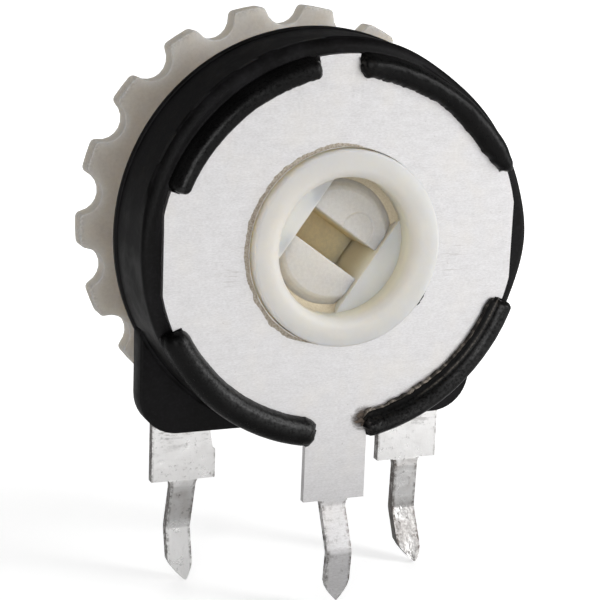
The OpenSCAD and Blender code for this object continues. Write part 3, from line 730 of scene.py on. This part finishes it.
rings, marks = [], []
count = smear["steps"]
for i in range(count + 1):
    u = 2 * i / count - 1
    ring, mark = [], []
    for j in range(count + 1):
        v = 2 * j / count - 1
        share = max(0.0, 1 - math.hypot(u, v))
        ring.append(smearSpot(v, u, smear["sunk"] - smear["thick"] * min(1.0, share * smear["steep"])))
        mark.append((min(1.0, share * 1.25), 0.0))
    rings.append(ring + [smearSpot(v, u, smear["under"]) for v in (1, -1)])
    marks.append(mark + [(0.0, 0.0)] * 2)
loft("smear_lower_right", rings, darkSmear(), "housing", marks=marks)

# The punched edge of the plate's hole, plain all round.
hole = {"steps": 480, "edge": 3.875, "out": 4.02, "uneven": 0.006, "unevenSize": 0.3, "proud": 0.002,
        "deep": 0.2, "radius": 4}
rings = []
for i in range(hole["steps"]):
    angle = 360 * i / hole["steps"]
    x, z = around(hole["radius"], angle)
    edge = hole["edge"] + hole["uneven"] * rough(x, 9, z, hole["unevenSize"])
    rings.append([spot(r, angle, y) for r, y in [
        (edge, hole["deep"]), (edge, 0.004), (edge + 0.002, -hole["proud"]), (edge + 0.006, -hole["proud"]),
        (hole["out"] - 0.004, -hole["proud"]), (hole["out"], -hole["proud"]), (hole["out"] + 0.01, hole["deep"])]])
loft("plate_hole_edge", rings, sheet, "housing", wrap=True)

# A torn burr on that edge, from the top down the left side. It stands inwards by the tear, and its
# section is shares of its width with depths. Its tan colour is painted shade of the gap beside the ring.
burr = {"angles": (74, 256), "step": 0.6, "fade": 26, "tear": 0.05, "inset": 0.004, "wide": 0.155,
        "endWidth": 0.15, "proud": 0.014, "first": (146, 136, 121), "second": (186, 177, 164)}
rings = []
start, end = burr["angles"]
count = int((end - start) / burr["step"])
for i in range(count + 1):
    angle = start + (end - start) * i / count
    x, z = around(hole["radius"], angle)
    full = smooth(min(angle - start, end - angle), 0, burr["fade"])
    tear = burr["tear"] * full
    edge = hole["edge"] - burr["inset"] + tear * (0.6 + 0.5 * rough(x, 3, z, 0.6))
    wide = burr["wide"] * (burr["endWidth"] + (1 - burr["endWidth"]) * full) \
        + tear * (0.7 + 1.2 * rough(x, 5, z, 0.5) + 0.6 * rough(x, 6, z, 0.13))
    rise = burr["proud"] * (1 + 0.6 * rough(x, 7, z, 0.4))
    section = [(0, 0.03), (-0.004, 0.005), (0.16, -rise), (0.4, -rise), (0.84, -0.003 - rise * 0.4),
               (1, 0.004), (1, 0.03)]
    rings.append([spot(edge + wide * share, angle, y) for share, y in section])
# tan colours: painted shade of the gap beside the ring
loft("plate_burr", rings, printed("burrAndGapShade", burr["first"], burr["second"], 0.3, 0.45), "housing")

# The rounded root of the recess, between its wall and the slope of the stem's barbs, coloured tan as painted
# shade.
root = {"path": [(2.775, 0.76), (2.745, 0.84), (2.71, 0.92), (2.66, 1.01), (2.59, 1.1), (2.5, 1.18),
                 (2.38, 1.24), (2.38, 1.4), (2.8, 1.4)],
        "step": 3, "first": (196, 184, 158), "second": (210, 199, 176)}
rings = [[spot(r, angle, y) for r, y in root["path"]] for angle in range(0, 360, root["step"])]
loft("rotor_root", rings, printed("recessRootShade", root["first"], root["second"], 0.0, 0.45), "rotor",
     wrap=True)
print("small bits made")


# Camera at the angle that shows the plate, the drum's left side and the wheel's teeth.
camera = {"azimuth": 22.586, "elevation": 13.642, "roll": 2.2, "lens": 102.46, "sensor": 36,
          "distance": 65.08, "target": (-1.764, 0, 8.244), "clip": (0.005, 5)}
turn, tilt, roll = (math.radians(camera[k]) for k in ("azimuth", "elevation", "roll"))
back = Vector((-math.sin(turn) * math.cos(tilt), -math.cos(turn) * math.cos(tilt), math.sin(tilt)))
right = Vector((math.cos(turn), -math.sin(turn), 0))
up = back.cross(right)
across = math.cos(roll) * right + math.sin(roll) * up
upward = math.cos(roll) * up - math.sin(roll) * right
lens = bpy.data.cameras.new("camera")
lens.lens, lens.sensor_width = camera["lens"], camera["sensor"]
lens.clip_start, lens.clip_end = camera["clip"]
eye = bpy.data.objects.new("camera", lens)
bpy.context.scene.collection.objects.link(eye)
eye.matrix_world = Matrix.Translation((Vector(camera["target"]) + back * camera["distance"]) * mm) \
    @ Matrix((across, upward, back)).transposed().to_4x4()
bpy.context.scene.camera = eye

black, white = [0, 0, 0, 1], [1, 1, 1, 1]

# Pale floor under the pins' tips. It glows white away from the object, and nearer it keeps the shadow.
# In a polish it glows in front of the object only, and not right under it.
floor = {"size": 900, "drop": 0.02, "colour": shade(230, 230, 230), "near": 0.54, "from": 14, "to": 45,
         "underX": 4, "under": (6, 17), "mirrored": 0.5, "behind": (10, -10)}
f = Finish("paleFloor", {"Base Color": floor["colour"], "Roughness": 0.9, "Specular IOR Level": 0.1,
                         "Emission Strength": 1.0})
fromEye, glossy, clear = f.rays()
away = far(f.along("X"), f.along("Y"))
seen = fromEye.larger(clear) * away.ramp(floor["from"], floor["to"], floor["near"], 1.0)
under = far(f.along("X") - floor["underX"], f.along("Y"))
bounced = glossy * under.ramp(*floor["under"], 0.0, floor["mirrored"]) * f.along("Y").ramp(*floor["behind"])
f.feed(Emission_Color=f.mix(seen.larger(bounced), black, white))
low = cadBox[0].z / mm - floor["drop"]
side = floor["size"] / 2
mesh = bpy.data.meshes.new("floor")
mesh.from_pydata([Vector((x * side, y * side, low)) * mm for x, y in ((-1, -1), (1, -1), (1, 1), (-1, 1))],
                 [], [(0, 1, 2, 3)])
mesh.materials.append(f.material)
ground = bpy.data.objects.new("floor", mesh)
bpy.context.scene.collection.objects.link(ground)

# Soft studio light: the main lamp high on the right, one on the left, a wide fill, and a weak one behind.
# The first two are stronger in a polish than on the surfaces, as bright bulbs behind a screen are.
lamps = {
    "key": {"from": (112, -80, 65), "power": 0.1, "polish": 0.125, "sizes": {"power": 44, "polish": 110}},
    "left": {"from": (-85, -112, 66), "power": 0.025, "polish": 0.08, "sizes": {"power": 44, "polish": 90}},
    "front": {"from": (-35, -160, 60), "power": 0.055, "polish": 0, "sizes": {"power": 170}},
    "rear": {"from": (45, 150, 85), "power": 0.05, "polish": 0, "sizes": {"power": 120}},
}
aimed = Vector((0, 2, axisHeight)) * mm  # the drum's middle
for name, lamp in lamps.items():
    for share in ("power", "polish"):
        if lamp[share]:
            data = bpy.data.lights.new(name + share, "AREA")
            data.shape, data.size, data.energy = "DISK", lamp["sizes"][share] * mm, lamp[share]
            made = bpy.data.objects.new(name + share, data)
            made.location = Vector(lamp["from"]) * mm
            made.visible_glossy, made.visible_diffuse = share == "polish", share == "power"
            made.rotation_mode = "QUATERNION"
            made.rotation_quaternion = (aimed - made.location).to_track_quat("-Z", "Y")
            bpy.context.scene.collection.objects.link(made)

# The surround: white to the eye, nearly even for the light, and in a polish bright in front, dim behind.
surround = {"even": 0.37, "right": 0.1, "dim": 0.15, "dimFrom": (0.8, 0.1, 0.3, 1.0), "bright": 0.35,
            "brightFrom": (0.4, -0.9)}
world = Finish("surround", {}, "worlds")
bpy.context.scene.world = world.material
fromEye, glossy, clear = world.rays()
toward = world.node("TexCoord", out="Generated")
x, y, z = (world.node("SeparateXYZ", None, {0: toward}, out=k) for k in range(3))
facing = (x * surround["brightFrom"][0] + y * surround["brightFrom"][1]).larger(0.0)
polish = facing * surround["bright"] + surround["dim"] * z.ramp(*surround["dimFrom"])
even = x * surround["right"] + surround["even"]
strength = even * (1 - glossy) + polish * glossy
seen = fromEye.larger(clear)
background = world.tree.nodes["Background"]
world.tree.links.new((strength * (1 - seen) + seen).socket, background.inputs["Strength"])
background.inputs["Color"].default_value = white
bpy.context.scene.view_settings.view_transform = "Standard"

bpy.context.view_layer.update()
print("scene ready")
